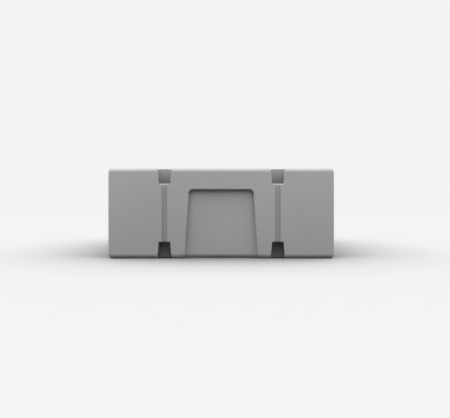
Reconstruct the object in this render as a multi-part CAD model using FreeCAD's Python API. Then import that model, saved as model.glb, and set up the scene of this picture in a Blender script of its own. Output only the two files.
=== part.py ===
import FreeCAD, Part
import math
import os

# Dock pontoon, rotationally moulded in one piece. It is closed all round, so it is one solid.
# Sizes are in millimetres and angles in degrees. X runs across the float, Y along it, +Z is up.
# The origin is the middle of the underside, on the surface that the float stands on.

# Hull
hull_width = 1000.0
hull_length = 1500.0
hull_height = 400.0
corner_radius = 20.0
edge_radius = 20.0

# Coupler pockets in the deck and the underside, each half a dog bone with its neck at the face
coupler_pitch = 500.0
pocket_depth = 70.0
pocket_reach = 85.0
pocket_draft = 5.0
neck_width = 63.0
neck_length = 30.0
neck_nose_chamfer = 5.0
lobe_width = 120.0
lobe_corner_radius = 18.0
lip_radius = 7.0

# Half-round groove for the bolt that joins the upper and the lower coupler
bolt_groove_diameter = 23.0

# Recess in the side between two coupler stations, open at the underside
recess_top_width = 282.0
recess_bottom_width = 322.0
recess_below_deck = 94.0
recess_depth = 24.0
recess_corner_radius = 16.0
recess_ceiling_drop = 10.0
recess_ceiling_radius = 6.0

# Anti-slip tread on the deck: square cells of raised bars, turned across and along by turns
tread_cell = 250.0
tread_bars = 3
tread_bar_spacing = 74.0
tread_bar_length = 206.0
tread_bar_width = 30.0
tread_height = 2.5
tread_flank = 3.0
tread_margin = 16.0


# How far a cutting shape runs on past the surface that it opens
overrun = 30.0

tolerance = 1e-4
vector = FreeCAD.Vector
origin = vector(0, 0, 0)
across_axis = vector(1, 0, 0)
up = vector(0, 0, 1)


def line(start, end):
    """Straight edge between two points."""
    return Part.LineSegment(start, end).toShape()


def arc(start, centre, end):
    """The shorter circular edge from start to end about centre."""
    half_way = (start - centre) + (end - centre)
    half_way.normalize()
    return Part.Arc(start, centre + half_way * (start - centre).Length, end).toShape()


def polygon_face(points):
    """Flat face with straight edges through the points."""
    return Part.Face(Part.makePolygon(points + points[:1]))


def spaced(count, pitch):
    """Places of count features in a row that is centred on zero."""
    return [(index - (count - 1) / 2) * pitch for index in range(count)]


def hull_sides():
    """Each side of the hull: its turn about Z, its distance from the middle, its stations."""
    across = spaced(max(1, round(hull_width / coupler_pitch)), coupler_pitch)
    along = spaced(max(1, round(hull_length / coupler_pitch)), coupler_pitch)
    return [
        (0, hull_length / 2, across),
        (90, hull_width / 2, along),
        (180, hull_length / 2, across),
        (270, hull_width / 2, along),
    ]


def on_side(shape, place, turn, distance):
    """Copy of a shape drawn with the face of the hull at y = 0, set on one side of the hull."""
    copy = shape.copy()
    copy.translate(vector(place, -distance, 0))
    copy.rotate(origin, up, turn)
    return copy


def hull_block():
    """Block with rounded upright corners and rounded deck and bottom edges."""
    corner = vector(-hull_width / 2, -hull_length / 2, 0)
    block = Part.makeBox(hull_width, hull_length, hull_height, corner)
    uprights = [edge for edge in block.Edges if edge.BoundBox.ZLength > tolerance]
    block = block.makeFillet(corner_radius, uprights)
    level = [edge for edge in block.Edges if edge.BoundBox.ZLength < tolerance]
    return block.makeFillet(edge_radius, level)


def draft_inset(height):
    """How far a drafted pocket wall stands in from its place at the deck."""
    return (hull_height - height) * math.tan(math.radians(pocket_draft))


def pocket_lobe():
    """Cutting shape of the wide part of a pocket: four drafted walls with rounded corners."""
    floor = hull_height - pocket_depth
    above = hull_height + overrun
    low = draft_inset(floor)
    high = draft_inset(above)
    half = lobe_width / 2
    lobe = Part.makeWedge(low - half, floor, low - pocket_reach, high - pocket_reach, high - half,
                          half - low, above, -low - neck_length, -high - neck_length, half - high)
    lobe.rotate(origin, across_axis, 90)
    corners = [edge for edge in lobe.Edges if edge.BoundBox.ZLength > pocket_depth]
    return lobe.makeFillet(lobe_corner_radius, corners)


def pocket_neck():
    """Cutting shape of the neck: drafted walls, and a lip where its floor meets the face."""
    floor = hull_height - pocket_depth
    low = floor - lip_radius
    above = hull_height + overrun
    far = (neck_length + pocket_reach) / 2

    def half(height):
        return neck_width / 2 - draft_inset(height)

    def beside(y, z):
        return vector(-neck_width, y, z)
    section = polygon_face([vector(-half(low), -overrun, low), vector(half(low), -overrun, low),
                            vector(half(above), -overrun, above), vector(-half(above), -overrun, above)])
    walls = section.extrude(vector(0, overrun + far, 0))
    profile = Part.Wire([
        line(beside(-overrun, low), beside(0, low)),
        arc(beside(0, low), beside(lip_radius, low), beside(lip_radius, floor)),
        line(beside(lip_radius, floor), beside(far, floor)),
        line(beside(far, floor), beside(far, above)),
        line(beside(far, above), beside(-overrun, above)),
        line(beside(-overrun, above), beside(-overrun, low)),
    ])
    return walls.common(Part.Face(profile).extrude(vector(2 * neck_width, 0, 0)))


def deck_pocket():
    """Cutting shape of a coupler pocket in the deck, with blunt noses between neck and lobe."""
    pocket = pocket_lobe().fuse(pocket_neck()).removeSplitter().Solids[0]
    noses = []
    for edge in pocket.Edges:
        middle = edge.CenterOfMass
        beside_neck = abs(abs(middle.x) - neck_width / 2) < neck_nose_chamfer
        at_shoulder = abs(middle.y - neck_length) < neck_nose_chamfer
        if edge.BoundBox.ZLength > pocket_depth and beside_neck and at_shoulder:
            noses.append(edge)
    return pocket.makeChamfer(neck_nose_chamfer, noses)


def bolt_groove():
    """Cutting shape of the bolt groove, from the middle of the upper pocket to the lower's."""
    end = pocket_depth / 2
    groove = Part.makeCylinder(bolt_groove_diameter / 2, hull_height - 2 * end, vector(0, 0, end))
    # The seam of the cylinder is turned outwards, clear of the hull's face.
    groove.rotate(origin, up, -90)
    return groove


def side_recess():
    """Cutting shape of a side recess: a trapezoid with a sloping ceiling and a rounded foot."""
    top = hull_height - recess_below_deck
    flare = (recess_bottom_width - recess_top_width) / 2 / top
    low_half = recess_bottom_width / 2 + overrun * flare
    top_half = recess_top_width / 2
    back = recess_depth + edge_radius
    outline = polygon_face([vector(-low_half, 0, -overrun), vector(low_half, 0, -overrun),
                            vector(top_half, 0, top), vector(-top_half, 0, top)])
    inwards = vector(0, recess_depth, -recess_ceiling_drop)
    outline.translate(inwards * (-overrun / recess_depth))
    window = outline.extrude(inwards * ((overrun + back) / recess_depth))
    corners = [edge for edge in window.Edges if edge.BoundBox.YLength > back and edge.BoundBox.ZMin > 0]
    window = window.makeFillet(recess_corner_radius, corners)

    def beside(y, z):
        return vector(-low_half - overrun, y, z)

    def ceiling_at(y):
        return top - y * recess_ceiling_drop / recess_depth
    ceiling_normal = vector(0, recess_ceiling_drop, recess_depth) * (recess_ceiling_radius / inwards.Length)
    centre_y = recess_depth - recess_ceiling_radius
    centre = beside(centre_y, ceiling_at(centre_y) - recess_ceiling_radius * inwards.Length / recess_depth)
    profile = Part.Wire([
        line(beside(-overrun, -overrun), beside(-overrun, ceiling_at(-overrun))),
        line(beside(-overrun, ceiling_at(-overrun)), centre + ceiling_normal),
        arc(centre + ceiling_normal, centre, beside(recess_depth, centre.z)),
        line(beside(recess_depth, centre.z), beside(recess_depth, edge_radius)),
        arc(beside(recess_depth, edge_radius), beside(back, edge_radius), beside(back, 0)),
        line(beside(back, 0), beside(back, -overrun)),
        line(beside(back, -overrun), beside(-overrun, -overrun)),
    ])
    return window.common(Part.Face(profile).extrude(vector(2 * (low_half + overrun), 0, 0)))


def tread_bar():
    """One raised bar of the tread, along X, with sloping flanks and its foot sunk in the deck."""
    slope = tread_flank / tread_height
    foot_half = vector(tread_bar_length / 2 + tread_flank, tread_bar_width / 2 + tread_flank, 0)
    crest_half = foot_half - vector(1, 1, 0) * (2 * tread_height * slope)
    bar = Part.makeWedge(-foot_half.x, hull_height - tread_height, -foot_half.y, -crest_half.y, -crest_half.x,
                         foot_half.x, hull_height + tread_height, foot_half.y, crest_half.y, crest_half.x)
    bar.rotate(origin, across_axis, 90)
    return bar


def deck_tread():
    """All the bars of the tread, in cells that fill the deck inside the coupler pockets."""
    taken = 2 * (pocket_reach + tread_margin)
    across = spaced(int((hull_width - taken) // tread_cell), tread_cell)
    along = spaced(int((hull_length - taken) // tread_cell), tread_cell)
    bar = tread_bar()
    bars = []
    for column, x in enumerate(across):
        for row, y in enumerate(along):
            for offset in spaced(tread_bars, tread_bar_spacing):
                copy = bar.translated(vector(0, offset, 0))
                copy.rotate(origin, up, 90 * ((column + row) % 2))
                bars.append(copy.translated(vector(x, y, 0)))
    return Part.Compound(bars)


def float_moulding():
    """The whole float: the hull, its coupler stations, its side recesses and its tread."""
    pocket = deck_pocket()
    lower_pocket = pocket.mirror(vector(0, 0, hull_height / 2), up)
    groove = bolt_groove()
    recess = side_recess()
    cuts = []
    for turn, distance, places in hull_sides():
        for place in places:
            cuts.append(on_side(pocket, place, turn, distance))
            cuts.append(on_side(lower_pocket, place, turn, distance))
            cuts.append(on_side(groove, place, turn, distance))
        for first, second in zip(places, places[1:]):
            cuts.append(on_side(recess, (first + second) / 2, turn, distance))
    body = hull_block().cut(cuts).removeSplitter()
    return body.fuse(deck_tread()).Solids[0]


os.makedirs("parts", exist_ok=True)
moulding = float_moulding()
moulding.exportStep("parts/float_moulding.step")
print("float_moulding", len(moulding.Faces), "faces", round(moulding.Volume / 1e9, 4), "cubic metres")
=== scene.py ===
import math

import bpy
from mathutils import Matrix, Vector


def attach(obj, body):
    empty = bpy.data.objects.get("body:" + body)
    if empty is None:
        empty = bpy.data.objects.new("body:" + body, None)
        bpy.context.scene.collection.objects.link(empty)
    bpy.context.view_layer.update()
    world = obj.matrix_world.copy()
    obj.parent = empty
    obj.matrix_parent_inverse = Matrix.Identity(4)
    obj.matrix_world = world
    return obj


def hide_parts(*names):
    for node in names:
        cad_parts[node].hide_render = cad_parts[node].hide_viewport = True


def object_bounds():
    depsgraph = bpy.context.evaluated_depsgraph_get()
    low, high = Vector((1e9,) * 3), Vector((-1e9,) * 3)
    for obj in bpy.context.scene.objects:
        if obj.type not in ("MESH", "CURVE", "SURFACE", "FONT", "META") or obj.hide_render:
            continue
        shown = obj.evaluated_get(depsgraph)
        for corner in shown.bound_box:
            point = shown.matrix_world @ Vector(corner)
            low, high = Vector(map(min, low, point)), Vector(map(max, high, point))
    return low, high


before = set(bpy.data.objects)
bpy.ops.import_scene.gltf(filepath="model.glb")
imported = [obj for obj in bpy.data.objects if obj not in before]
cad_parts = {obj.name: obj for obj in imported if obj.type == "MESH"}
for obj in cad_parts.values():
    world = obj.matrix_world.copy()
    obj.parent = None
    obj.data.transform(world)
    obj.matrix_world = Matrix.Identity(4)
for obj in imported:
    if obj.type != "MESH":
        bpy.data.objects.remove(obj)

# %% [markdown]
# # A moulded dock float
# The object is one hollow polyethylene moulding, so the frame holds one node and no joints.
# Everything below is about how it looks: the camera, the light of an overcast sky, a pale floor, the
# rounding of the moulding's rims and the finish of its plastic.
# Lengths are in metres. The origin is the middle of the underside and +Z is up.

float_low, float_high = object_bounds()
float_size = float_high - float_low
face_y = float_low.y
print("The float measures", [round(side, 3) for side in float_size])

# %% [markdown]
# Blender's operators act on all that is selected, and the frame's node comes in selected. So each step
# first selects only what it works on.

# %% A helper that clears the selection
def select_only(*objects):
    """Leave nothing selected but these objects, the last of them active."""
    bpy.ops.object.select_all(action="DESELECT")
    for item in objects:
        item.select_set(True)
        bpy.context.view_layer.objects.active = item


select_only()
print("Selected objects:", len(bpy.context.selected_objects))

# %% [markdown]
# ## Helpers for nodes
# The sky, the floor and the plastic are networks of nodes, and most of these nodes do plain arithmetic.
# A few short functions make them. Each input is either a number or the output of another node, and each
# function gives back its own output, ready for the next node, so that a chain reads like a sum.

# %% Helpers that make and link nodes
def feed(tree, socket, source):
    """Link a node's output to a socket, or write a number or a colour into it."""
    if isinstance(source, bpy.types.NodeSocket):
        tree.links.new(source, socket)
    else:
        socket.default_value = source


def math_node(tree, operation, *sources):
    """Output of a Math node with these inputs."""
    node = tree.nodes.new("ShaderNodeMath")
    node.operation = operation
    for socket, source in zip(node.inputs, sources):
        feed(tree, socket, source)
    return node.outputs["Value"]


def ramp_node(tree, source, band, values):
    """Output that runs from the first value to the second while its source runs through the band."""
    node = tree.nodes.new("ShaderNodeMapRange")
    feed(tree, node.inputs["Value"], source)
    for name, number in zip(("From Min", "From Max", "To Min", "To Max"), (*band, *values)):
        feed(tree, node.inputs[name], number)
    return node.outputs["Result"]


def mix_node(tree, share, first, second):
    """Output that is the first value where the share is 0 and the second where it is 1."""
    node = tree.nodes.new("ShaderNodeMix")
    for name, source in (("Factor", share), ("A", first), ("B", second)):
        feed(tree, node.inputs[name], source)
    return node.outputs["Result"]


def mix_shader(tree, share, first, second):
    """Shader that is the first one where the share is 0 and the second where it is 1."""
    node = tree.nodes.new("ShaderNodeMixShader")
    for socket, source in zip(node.inputs, (share, first, second)):
        feed(tree, socket, source)
    return node.outputs["Shader"]


def grey_colour(level):
    """Neutral colour of this level, as a colour socket takes it."""
    return (level, level, level, 1)


print("Middle grey reads", grey_colour(0.5))

# %% [markdown]
# ## Camera
# The picture looks straight at one short side, from half way up it, so no deck shows.
# The camera is level. Its height and sideways place follow from where the float lies in the picture:
# the horizon crosses the middle of the frame and the float sits a little left of it.
# A long lens would flatten the pockets, so the distance is the one at which their back walls fit. The
# lens then follows from how much of the picture's width the near face takes up.

# %% Level camera on the short side
picture_width = 450
face_pixels = 227.2
camera_distance = 2.45
camera_height = 0.218
camera_shift_right = 0.017
sensor_width = 36.0

camera_data = bpy.data.cameras.new("camera")
camera_data.sensor_width = sensor_width
picture_share = face_pixels / picture_width
camera_data.lens = sensor_width * camera_distance * picture_share / float_size.x
camera = bpy.data.objects.new("camera", camera_data)
bpy.context.scene.collection.objects.link(camera)
camera.location = (camera_shift_right, face_y - camera_distance, camera_height)
camera.rotation_euler = (math.radians(90), 0, 0)
bpy.context.scene.camera = camera
print("Lens", round(camera_data.lens, 1), "mm")

# %% [markdown]
# ## Light
# The rounded deck edges are bright, the upright faces are a middle grey and the shadow is a soft band
# close round the foot. That is the light of an overcast sky: it comes from everywhere, and most of it
# from straight overhead. A world whose strength grows with height gives it without any lamp, and it
# lights the floor alike everywhere, which a lamp near the float wouldn't.

# %% Overcast sky
horizon_strength = 0.45
zenith_strength = 5.2


def sky_light(tree):
    """Background that brightens from the horizon to straight overhead, as an overcast sky does."""
    direction = tree.nodes.new("ShaderNodeTexCoord")
    split = tree.nodes.new("ShaderNodeSeparateXYZ")
    feed(tree, split.inputs["Vector"], direction.outputs["Generated"])
    strength = ramp_node(tree, split.outputs["Z"], (0.0, 1.0), (horizon_strength, zenith_strength))
    sky = tree.nodes.new("ShaderNodeBackground")
    feed(tree, sky.inputs["Strength"], strength)
    return sky.outputs["Background"]


print("Sky", horizon_strength, "at the horizon and", zenith_strength, "overhead")

# %% [markdown]
# Where the camera, a glossy ray or a clear one looks straight at the world, it shows a plain pale
# backdrop instead of the sky. The backdrop adds no light to the float.

# %% World with a plain backdrop
backdrop_grey = 0.896


def looked_at(tree):
    """1 for a camera ray, a glossy one or a clear one, and 0 for the rays that gather light."""
    ray = tree.nodes.new("ShaderNodeLightPath")
    straight = math_node(tree, "ADD", ray.outputs["Is Camera Ray"], ray.outputs["Is Glossy Ray"])
    any_of_them = math_node(tree, "ADD", straight, ray.outputs["Is Transmission Ray"])
    any_of_them.node.use_clamp = True
    return any_of_them


world = bpy.data.worlds.new("studio")
world.use_nodes = True
bpy.context.scene.world = world
world_tree = world.node_tree
world_tree.nodes.clear()
backdrop = world_tree.nodes.new("ShaderNodeBackground")
feed(world_tree, backdrop.inputs["Color"], grey_colour(backdrop_grey))
shown = mix_shader(world_tree, looked_at(world_tree), sky_light(world_tree), backdrop.outputs["Background"])
world_output = world_tree.nodes.new("ShaderNodeOutputWorld")
feed(world_tree, world_output.inputs["Surface"], shown)
print("World", world.name, "has", len(world_tree.nodes), "nodes")

# %% [markdown]
# ## Floor
# A pale floor catches the soft shadow. It is a plane that runs far enough to meet the background.
# Under an even sky the shadow alone is faint, so an Ambient Occlusion node, which measures how much
# of the floor's surroundings is near, darkens the floor's colour where the float stands close.
# Light that bounces off the floor is kept low, because the hollows under the float are nearly black.

# %% Paint of the floor
floor_grey = 0.312
floor_bounce = 0.05
contact_reach = 0.7
contact_depth = 0.75


def matt_paint(tree, colour):
    """Plain matt shader of this colour."""
    paint = tree.nodes.new("ShaderNodeBsdfDiffuse")
    feed(tree, paint.inputs["Color"], colour)
    return paint.outputs["BSDF"]


def floor_paint(tree, ray):
    """Pale paint with a soft shade round the float's foot, and a dull one for light that bounces."""
    contact = tree.nodes.new("ShaderNodeAmbientOcclusion")
    contact.inputs["Distance"].default_value = contact_reach
    shade = math_node(tree, "POWER", contact.outputs["AO"], contact_depth)
    pale = matt_paint(tree, math_node(tree, "MULTIPLY", shade, floor_grey))
    dull = matt_paint(tree, grey_colour(floor_bounce))
    return mix_shader(tree, ray.outputs["Is Diffuse Ray"], pale, dull)


print("Floor grey", floor_grey, "to the eye and", floor_bounce, "to light that bounces")

# %% [markdown]
# The floor lies half a millimetre below the float, because two surfaces in one plane hide each other
# at random. Seen from below it is clear, and so it is for the very short rays that cross this gap, so
# that the float's underside can be looked at and gets light.

# %% Floor that is clear from below
floor_size = 60.0
floor_gap = 0.0005
gap_reach = 0.003


def pale_floor():
    """Material with the floor's paint, clear from below and for the short rays in the gap."""
    material = bpy.data.materials.new("pale_floor")
    material.use_nodes = True
    tree = material.node_tree
    tree.nodes.clear()
    ray = tree.nodes.new("ShaderNodeLightPath")
    side = tree.nodes.new("ShaderNodeNewGeometry")
    clear = tree.nodes.new("ShaderNodeBsdfTransparent")
    in_gap = math_node(tree, "LESS_THAN", ray.outputs["Ray Length"], gap_reach)
    seen_through = math_node(tree, "MAXIMUM", in_gap, side.outputs["Backfacing"])
    shown = mix_shader(tree, seen_through, floor_paint(tree, ray), clear.outputs["BSDF"])
    output = tree.nodes.new("ShaderNodeOutputMaterial")
    feed(tree, output.inputs["Surface"], shown)
    return material


select_only()
bpy.ops.mesh.primitive_plane_add(size=floor_size, location=(0, 0, -floor_gap))
floor = bpy.context.object
floor.name = "floor"
floor.data.materials.append(pale_floor())
print("Floor", floor_size, "m across")

# %% [markdown]
# Blender can bend colours as film does. The Standard view leaves them alone, so the greys of the floor
# and of the plastic show as they are chosen.

# %% Plain view of colours
bpy.context.scene.view_settings.view_transform = "Standard"
print("View transform:", bpy.context.scene.view_settings.view_transform)

# %% [markdown]
# ## The moulded shell
# A rotational mould is filled with powder that melts into a skin of even thickness. It can't fill a
# sharp edge, so on the real float every rim is rounded, and the bolt groove opens into the pockets
# like the bell of a trumpet. The frame's solid keeps these rims sharp, so a copy of it is finished here.
# The copy's loose triangles are merged first, and triangles in one plane are dissolved into larger
# faces, because a bevel needs whole faces on both sides of an edge.

# %% Merged copy of the moulding
merge_distance = 0.00002
flat_angle = math.radians(0.5)

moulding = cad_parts["float_moulding"]
shell = bpy.data.objects.new("float_shell", moulding.data.copy())
bpy.context.scene.collection.objects.link(shell)
select_only(shell)
bpy.ops.object.mode_set(mode="EDIT")
bpy.ops.mesh.select_mode(type="VERT")
bpy.ops.mesh.select_all(action="SELECT")
bpy.ops.mesh.remove_doubles(threshold=merge_distance)
bpy.ops.mesh.dissolve_limited(angle_limit=flat_angle)
bpy.ops.object.mode_set(mode="OBJECT")
print(len(moulding.data.polygons), "triangles became", len(shell.data.polygons), "faces")

# %% [markdown]
# The float has ten coupler stations, 0.5 m apart along its sides, each with a pocket in the deck and one
# in the underside. The steps below treat each point and edge by its place, so three short functions
# measure it from the sides, from the stations and from the deck or the underside.

# %% Where a point lies on the float
coupler_pitch = 0.5
station_half_width = 0.08
pocket_depth = 0.07
deck_height = 0.4
half_width = float_size.x / 2
half_length = float_size.y / 2
long_stations = [-coupler_pitch, 0.0, coupler_pitch]
short_stations = [-coupler_pitch / 2, coupler_pitch / 2]


def depth_in(point):
    """How far a point lies in from the nearest side of the hull."""
    return min(half_width - abs(point.x), half_length - abs(point.y))


def station_offset(point):
    """How far a point lies, along its side, from the nearest coupler station."""
    if half_length - abs(point.y) < half_width - abs(point.x):
        return min(abs(point.x - station) for station in short_stations)
    return min(abs(point.y - station) for station in long_stations)


def level_in(point):
    """How far a point lies from the deck or from the underside, whichever is nearer."""
    return min(point.z, deck_height - point.z)


first_point = shell.data.vertices[0].co
measures = (depth_in(first_point), station_offset(first_point), level_in(first_point))
print("Depth, offset and level of the first point:", [round(measure, 3) for measure in measures])

# %% [markdown]
# Where the curved edges of the hull run into a pocket, some points lie less than a millimetre apart. A
# bevel wider than the gaps between them would fold over itself, so they are closed up. This is done
# near the pocket rims only, because elsewhere such points hold the shape of a rounding.

# %% Points closed up at the pocket rims
rim_band = 0.03
rim_merge_distance = 0.0009

for vertex in shell.data.vertices:
    vertex.select = level_in(vertex.co) < rim_band and station_offset(vertex.co) < station_half_width
before = len(shell.data.vertices)
bpy.ops.object.mode_set(mode="EDIT")
bpy.ops.mesh.remove_doubles(threshold=rim_merge_distance)
bpy.ops.object.mode_set(mode="OBJECT")
print(before - len(shell.data.vertices), "crowded points closed up")

# %% [markdown]
# ## Bell mouths
# The bell at each end of a bolt groove is cut by a tool. Its outline is a quarter circle that starts
# on the groove's wall and ends on the pocket's floor, spun about the axis of the bolt. At both ends it
# runs on a little into the open, so that the cut leaves no thin skin behind. The tool is made once and
# copied to both ends of each groove, upside down at the lower end. The joined copies cut the shell in
# one Boolean.

# %% Bell-mouth tool, spun about the bolt's axis
groove_radius = 0.0115
lip_radius = 0.007
bell_steps = 6
bell_sides = 48
pocket_lap = 0.002
groove_lap = 0.0006

outline = [(0.0, 0.0, -groove_lap), (groove_radius, 0.0, -groove_lap)]
for step in range(bell_steps + 1):
    turn = math.radians(90) * step / bell_steps
    outline.append((groove_radius + lip_radius * (1 - math.cos(turn)), 0.0, lip_radius * math.sin(turn)))
outline.append((groove_radius + lip_radius, 0.0, lip_radius + pocket_lap))
outline.append((0.0, 0.0, lip_radius + pocket_lap))
bell_mesh = bpy.data.meshes.new("bell")
bell_mesh.from_pydata(outline, [(index, index + 1) for index in range(len(outline) - 1)], [])
bell = bpy.data.objects.new("bell", bell_mesh)
bpy.context.scene.collection.objects.link(bell)
select_only(bell)
bpy.ops.object.mode_set(mode="EDIT")
bpy.ops.mesh.select_all(action="SELECT")
bpy.ops.mesh.spin(steps=bell_sides, angle=math.radians(360), center=(0, 0, 0), axis=(0, 0, 1))
bpy.ops.mesh.select_all(action="SELECT")
bpy.ops.mesh.remove_doubles(threshold=merge_distance)
bpy.ops.mesh.normals_make_consistent(inside=False)
bpy.ops.object.mode_set(mode="OBJECT")
print("Bell tool:", len(bell.data.polygons), "faces")

# %% A bell at both ends of every groove
upper_end = deck_height - pocket_depth - lip_radius
lower_end = pocket_depth + lip_radius

stations = [(x, side * half_length) for x in short_stations for side in (-1, 1)]
stations += [(side * half_width, y) for y in long_stations for side in (-1, 1)]
bells = []
for x, y in stations:
    for height, degrees in ((upper_end, 0), (lower_end, 180)):
        tool = bpy.data.objects.new("bell", bell.data.copy())
        tool.rotation_euler = (math.radians(degrees), 0, 0)
        tool.location = (x, y, height)
        bpy.context.scene.collection.objects.link(tool)
        bells.append(tool)
bpy.data.objects.remove(bell)
print(len(bells), "bells at", len(stations), "stations")

# %% Bell mouths cut into the shell
select_only(*bells)
bpy.ops.object.join()
tools = bpy.context.object
cut = shell.modifiers.new("bell_mouths", "BOOLEAN")
cut.operation = "DIFFERENCE"
cut.solver = "EXACT"
cut.object = tools
select_only(shell)
bpy.ops.object.modifier_apply(modifier=cut.name)
bpy.data.objects.remove(tools)
print("The shell has", len(shell.data.polygons), "faces")

# %% [markdown]
# ## Rounded rims
# One Bevel modifier rounds the rims. Their radii differ, so each edge gets a weight: its own radius as
# a share of the largest. A radius that changed at once in the middle of a straight edge would make the
# bevel throw out a spike, so it fades bit by bit instead, toward each place where two walls already
# flow into each other.

# %% How a radius fades
def ramp(value, start, end):
    """0 below start, 1 above end, and even in between."""
    return min(1.0, max(0.0, (value - start) / (end - start)))


print("Half way through a fade,", ramp(0.5, 0.0, 1.0), "of the radius is left")

# %% [markdown]
# The sides of a side recess are rounded widest. Their rounding fades out at the foot, which is curved
# already, and narrows toward the crisp ceiling. The inner edges are rounded the more, the sharper they
# are, but not at the upper corners, where three roundings would meet.

# %% Radius at the side recesses
recess_side_radius = 0.009
recess_ceiling_radius = 0.001
recess_inner_radius = 0.007
foot_heights = (0.021, 0.051)
corner_heights = (0.255, 0.28)
ceiling_heights = (0.285, 0.305)
inner_angles = (math.radians(30), math.radians(85))


def radius_at_recess(middle, angle):
    """Radius for an edge of a side recess; angle is positive on an outer edge."""
    above_foot = ramp(middle.z, *foot_heights)
    if angle > 0:
        at_ceiling = ramp(middle.z, *ceiling_heights)
        return (recess_side_radius + (recess_ceiling_radius - recess_side_radius) * at_ceiling) * above_foot
    below_corner = 1 - ramp(middle.z, *corner_heights)
    return recess_inner_radius * above_foot * below_corner * ramp(-angle, *inner_angles)


print("Recess sides", recess_side_radius * 1000, "mm and inner edges", recess_inner_radius * 1000, "mm")

# %% [markdown]
# A coupler pocket has a small rounding at its rims and a wider one round its floor, which fades out
# toward the face. The lip, the bell mouths and the bolt groove are round already and get none.

# %% Radius at the coupler pockets
pocket_rim_radius = 0.0025
pocket_floor_radius = 0.004
floor_tolerance = 0.0002
lip_depths = (0.012, 0.032)
lip_band = 0.008


def radius_at_pocket(middle):
    """Radius for an edge of a coupler pocket."""
    depth = depth_in(middle)
    level = level_in(middle)
    if abs(level - pocket_depth) < floor_tolerance:
        return pocket_floor_radius * ramp(depth, *lip_depths)
    if level > pocket_depth - lip_band and depth < groove_radius + lip_radius:
        return 0.0
    return pocket_rim_radius


print("Pocket rims", pocket_rim_radius * 1000, "mm and floors", pocket_floor_radius * 1000, "mm")

# %% [markdown]
# The bars of the tread, which lie inside the ring of pockets, get the slightest rounding. Any other
# sharp edge belongs to a pocket where it lies near a coupler station, and to a side recess elsewhere.

# %% Radius of any rim
largest_radius = 0.01
tread_radius = 0.0008
tread_inset = 0.1
deck_tolerance = 0.0001


def rim_radius(middle, angle):
    """Radius for the edge with this middle; angle is positive on an outer edge."""
    on_deck = level_in(middle) < deck_tolerance and middle.z > pocket_depth
    if on_deck and depth_in(middle) > tread_inset:
        return tread_radius
    if station_offset(middle) > station_half_width:
        return radius_at_recess(middle, angle)
    return radius_at_pocket(middle)


print("Tread", tread_radius * 1000, "mm, and a full weight stands for", largest_radius * 1000, "mm")

# %% [markdown]
# The facets of the hull's own roundings meet at small angles. So only an edge that turns by more than
# 35 degrees counts as a rim and gets a weight, and the roundings stay as they are.

# %% Bevel weights by place
import bmesh

sharp_angle = math.radians(35)

rims = bmesh.new()
rims.from_mesh(shell.data)
weights = rims.edges.layers.float.new("bevel_weight_edge")
weighted = 0
for edge in rims.edges:
    angle = edge.calc_face_angle_signed(0.0)
    if abs(angle) > sharp_angle:
        middle = (edge.verts[0].co + edge.verts[1].co) / 2
        edge[weights] = rim_radius(middle, angle) / largest_radius
        weighted += 1
rims.to_mesh(shell.data)
rims.free()
print(weighted, "sharp edges weighted")

# %% Rounding by those weights
rounding = shell.modifiers.new("rounded_rims", "BEVEL")
rounding.limit_method = "WEIGHT"
rounding.width = largest_radius
rounding.segments = 3
rounding.use_clamp_overlap = False
select_only(shell)
bpy.ops.object.modifier_apply(modifier=rounding.name)
print("Rounded shell:", len(shell.data.polygons), "faces")

# %% [markdown]
# Where rims of different radii meet almost in line, a bevel can throw a point far out. The largest
# rounding moves the surface by about 0.3 of its radius, so a point that lies further than that from the
# moulding is a stray, and it is set back on the moulding.

# %% Stray points set back
from mathutils.bvhtree import BVHTree

stray_distance = 0.0032

solid = bmesh.new()
solid.from_mesh(moulding.data)
surface = BVHTree.FromBMesh(solid)
solid.free()
strays = 0
for vertex in shell.data.vertices:
    nearest, _, _, distance = surface.find_nearest(vertex.co)
    if distance > stray_distance:
        vertex.co = nearest
        strays += 1
print(strays, "stray points set back")

# %% [markdown]
# Smooth shading runs from each rounding into the wall beside it, which makes a flat wall look cushioned.
# A Weighted Normal modifier lets the larger faces at each point decide, so the walls look flat again.

# %% Flat walls
bpy.ops.object.shade_smooth_by_angle(angle=sharp_angle)
walls = shell.modifiers.new("flat_walls", "WEIGHTED_NORMAL")
walls.keep_sharp = True
bpy.ops.object.modifier_apply(modifier=walls.name)
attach(shell, "root")
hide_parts("float_moulding")
print("Finished shell:", len(shell.data.polygons), "faces")

# %% [markdown]
# ## Moulded polyethylene
# The float is grey polyethylene with a dull, slightly waxy surface. Three things keep it from looking
# like a flat colour: the grain of the mould, an uneven melt, and painted shade, with a little painted
# light. Each is a node group that gives out only values. All are read from Object coordinates, so they
# stay on the plastic whatever the view. A painted image could show the same, but the whole skin would
# have to be laid out flat first.

# %% Helpers for node groups
def new_group(name, inputs, outputs):
    """Shader node group with a vector input, float inputs (name and value) and float outputs (name)."""
    group = bpy.data.node_groups.new(name, "ShaderNodeTree")
    vector_input = group.interface.new_socket("Vector", in_out="INPUT", socket_type="NodeSocketVector")
    vector_input.hide_value = True
    for socket_name, value in inputs:
        socket = group.interface.new_socket(socket_name, in_out="INPUT", socket_type="NodeSocketFloat")
        socket.default_value = value
    for socket_name in outputs:
        group.interface.new_socket(socket_name, in_out="OUTPUT", socket_type="NodeSocketFloat")
    start = group.nodes.new("NodeGroupInput")
    end = group.nodes.new("NodeGroupOutput")
    return group, start, end


def noise_node(tree, vector, scale, detail):
    """Output of a noise texture, about one half on average."""
    node = tree.nodes.new("ShaderNodeTexNoise")
    for name, source in (("Vector", vector), ("Scale", scale), ("Detail", detail)):
        feed(tree, node.inputs[name], source)
    return node.outputs["Fac"]


print("Node groups so far:", len(bpy.data.node_groups))

# %% [markdown]
# ### Grain of the mould
# The mould is blasted steel, and the plastic takes on its fine, pitted grain. In the mesh it would take
# millions of faces, so a Bump node gives it to the light alone. Small round pits come from a Voronoi
# texture, and a finer noise roughens them.

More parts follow.
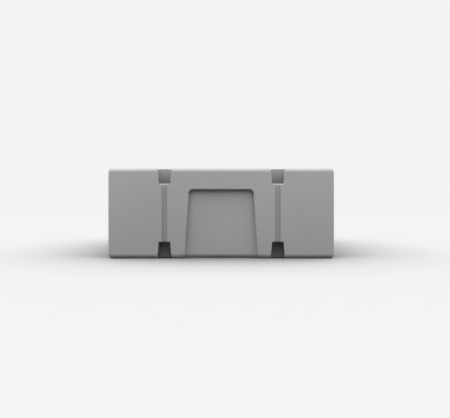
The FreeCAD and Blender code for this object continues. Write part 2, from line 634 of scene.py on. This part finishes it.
# %% Group: fine grain of the mould
pit_scale = 260.0
roughness_scale = 1400.0
roughness_detail = 2.0
roughness_share = 0.35


def mould_grain():
    """Height of the grain: small round pits on a finer roughness."""
    inputs = [("Pits", pit_scale), ("Roughness", roughness_scale)]
    group, start, end = new_group("mould_grain", inputs, ["Height"])
    pits = group.nodes.new("ShaderNodeTexVoronoi")
    pits.feature = "SMOOTH_F1"
    feed(group, pits.inputs["Vector"], start.outputs["Vector"])
    feed(group, pits.inputs["Scale"], start.outputs["Pits"])
    fine = noise_node(group, start.outputs["Vector"], start.outputs["Roughness"], roughness_detail)
    feed(group, end.inputs["Height"], mix_node(group, roughness_share, pits.outputs["Distance"], fine))
    return group


grain_group = mould_grain()
print("Group:", grain_group.name)

# %% [markdown]
# ### Uneven melt
# The powder melts unevenly, which leaves faint, wide changes of tone and of sheen, and small flecks in
# them. One noise texture can't be wide and small at once, so two of them are mixed.

# %% Group: uneven melt
cloud_scale = 2.2
cloud_detail = 3.0
fleck_scale = 70.0
fleck_detail = 4.0
fleck_share = 0.4


def uneven_melt():
    """A value about one half that drifts over the surface, in broad clouds and small flecks."""
    inputs = [("Clouds", cloud_scale), ("Flecks", fleck_scale)]
    group, start, end = new_group("uneven_melt", inputs, ["Value"])
    clouds = noise_node(group, start.outputs["Vector"], start.outputs["Clouds"], cloud_detail)
    flecks = noise_node(group, start.outputs["Vector"], start.outputs["Flecks"], fleck_detail)
    feed(group, end.inputs["Value"], mix_node(group, fleck_share, clouds, flecks))
    return group


melt_group = uneven_melt()
print("Group:", melt_group.name)

# %% [markdown]
# ### Painted shade and light
# Painted shade darkens the deck against the bright light from overhead, a little more between its bars
# than on them, but not along its edges. Where people walk can't be read from the mesh, so it is told
# from the height and from the distance in from the sides.

# %% Painted shade on the deck
tread_height = 0.0025
bar_foot = 0.0004
# Painted shade on the deck: the share of the tone left between the bars and on them.
deck_share = 0.62
bar_share = 0.7
skin_depths = (0.0012, 0.0002)
deck_shade_insets = (0.02, 0.07)


def inset_node(group, split):
    """Output that gives how far a place lies in from the nearest side of the hull."""
    insets = []
    for axis, half_size in (("X", half_width), ("Y", half_length)):
        distance = math_node(group, "ABSOLUTE", split.outputs[axis])
        insets.append(math_node(group, "SUBTRACT", half_size, distance))
    return math_node(group, "MINIMUM", *insets)


def deck_painted_shade(group, height, inset):
    """Output that gives the share of the tone that painted shade leaves on the deck, and 1 elsewhere."""
    bar_heights = (deck_height + bar_foot, deck_height + tread_height)
    # Painted shade, a little less on the bars.
    deck_shade = ramp_node(group, height, bar_heights, (deck_share, bar_share))
    at_deck = ramp_node(group, height, [deck_height - depth for depth in skin_depths], (0.0, 1.0))
    inside = ramp_node(group, inset, deck_shade_insets, (0.0, 1.0))
    return mix_node(group, math_node(group, "MULTIPLY", at_deck, inside), 1.0, deck_shade)


print("The deck keeps", deck_share, "of the tone and its bars keep", bar_share)

# %% [markdown]
# Painted shade darkens the hollows, most of all deep in the deck's pockets. How open a place is comes
# from an Ambient Occlusion node in the material. Close to a side, a place that is only partly open
# counts as open, so that the side recesses get no painted shade. The lower pockets, which face the
# ground, get painted light and are a touch lighter. Painted shade also darkens the whole skin toward
# the foot.

# %% Group: painted shade and painted light
shallow_depth = 0.03
deep_depth = 0.05
shallow_openness = 0.7
# Painted light: low, closed hollows (the lower pockets) get their tone raised by this share.
painted_light_share = 1.2
painted_light_heights = (0.068, 0.085)
# Painted shade darkens the skin from the foot up to this height.
foot_height = 0.35


def painted_shade_and_light():
    """Share of the tone: painted shade in hollows, toward the foot and on the deck, painted light in the
    lower pockets.
    """
    inputs = [("Openness", 1.0), ("Hollow Share", 1.0), ("Foot Share", 1.0)]
    group, start, end = new_group("painted_shade_and_light", inputs, ["Share"])
    split = group.nodes.new("ShaderNodeSeparateXYZ")
    feed(group, split.inputs["Vector"], start.outputs["Vector"])
    height = split.outputs["Z"]
    inset = inset_node(group, split)
    # Painted light in the lower pockets, painted shade in the closed hollows above them.
    closed = ramp_node(group, height, painted_light_heights, (painted_light_share, start.outputs["Hollow Share"]))
    fully_open = ramp_node(group, inset, (shallow_depth, deep_depth), (shallow_openness, 1.0))
    hollow = ramp_node(group, start.outputs["Openness"], (0.0, fully_open), (closed, 1.0))
    # Painted shade toward the foot.
    foot = ramp_node(group, height, (0.0, foot_height), (start.outputs["Foot Share"], 1.0))
    both = math_node(group, "MULTIPLY", hollow, foot)
    share = math_node(group, "MULTIPLY", both, deck_painted_shade(group, height, inset))
    feed(group, end.inputs["Share"], share)
    return group


painted_shade_group = painted_shade_and_light()
print("Group:", painted_shade_group.name)

# %% [markdown]
# ### The plastic
# The melt sets both tone and sheen, because plastic that melted paler is also duller. Painted shade and
# painted light take their share of the tone, and the grain leans the normals through a Bump node.

# %% Material: grey polyethylene
plastic_tones = (0.274, 0.308)
sheens = (0.50, 0.62)
melt_spread = (0.3, 0.7)
specular_level = 0.35
grain_depth = 0.0003
grain_strength = 0.5
shade_reach = 0.1
# Painted shade: the share of the tone left deep in closed hollows, and at the foot.
hollow_share = 0.25
foot_share = 0.84


def placed_group(tree, group, place):
    """Node that sets a group in a material, fed with a place on the object."""
    node = tree.nodes.new("ShaderNodeGroup")
    node.node_tree = group
    feed(tree, node.inputs["Vector"], place)
    return node


def grain_normal(tree, place):
    """Normals that lean with the grain of the mould."""
    grain = placed_group(tree, grain_group, place)
    bump = tree.nodes.new("ShaderNodeBump")
    feed(tree, bump.inputs["Distance"], grain_depth)
    feed(tree, bump.inputs["Strength"], grain_strength)
    feed(tree, bump.inputs["Height"], grain.outputs["Height"])
    return bump.outputs["Normal"]


def painted_shade_left(tree, place):
    """Share of the tone that painted shade and painted light leave."""
    # How open a place is drives the painted shade in the hollows.
    openness = tree.nodes.new("ShaderNodeAmbientOcclusion")
    openness.inputs["Distance"].default_value = shade_reach
    painted_shade_node = placed_group(tree, painted_shade_group, place)
    feed(tree, painted_shade_node.inputs["Openness"], openness.outputs["AO"])
    feed(tree, painted_shade_node.inputs["Hollow Share"], hollow_share)
    feed(tree, painted_shade_node.inputs["Foot Share"], foot_share)
    return painted_shade_node.outputs["Share"]


def grey_polyethylene():
    """Dull grey plastic with the mould's grain, an uneven melt and painted shade in its hollows."""
    material = bpy.data.materials.new("grey_polyethylene")
    material.use_nodes = True
    tree = material.node_tree
    plastic = tree.nodes["Principled BSDF"]
    place = tree.nodes.new("ShaderNodeTexCoord").outputs["Object"]
    melt = placed_group(tree, melt_group, place).outputs["Value"]
    tone = ramp_node(tree, melt, melt_spread, plastic_tones)
    sheen = ramp_node(tree, melt, melt_spread, sheens)
    plastic.inputs["Specular IOR Level"].default_value = specular_level
    feed(tree, plastic.inputs["Base Color"], math_node(tree, "MULTIPLY", tone, painted_shade_left(tree, place)))
    feed(tree, plastic.inputs["Roughness"], sheen)
    feed(tree, plastic.inputs["Normal"], grain_normal(tree, place))
    return material


polyethylene = grey_polyethylene()
shell.data.materials.clear()
shell.data.materials.append(polyethylene)
print("Finish on", shell.name, "with", len(shell.data.polygons), "faces")
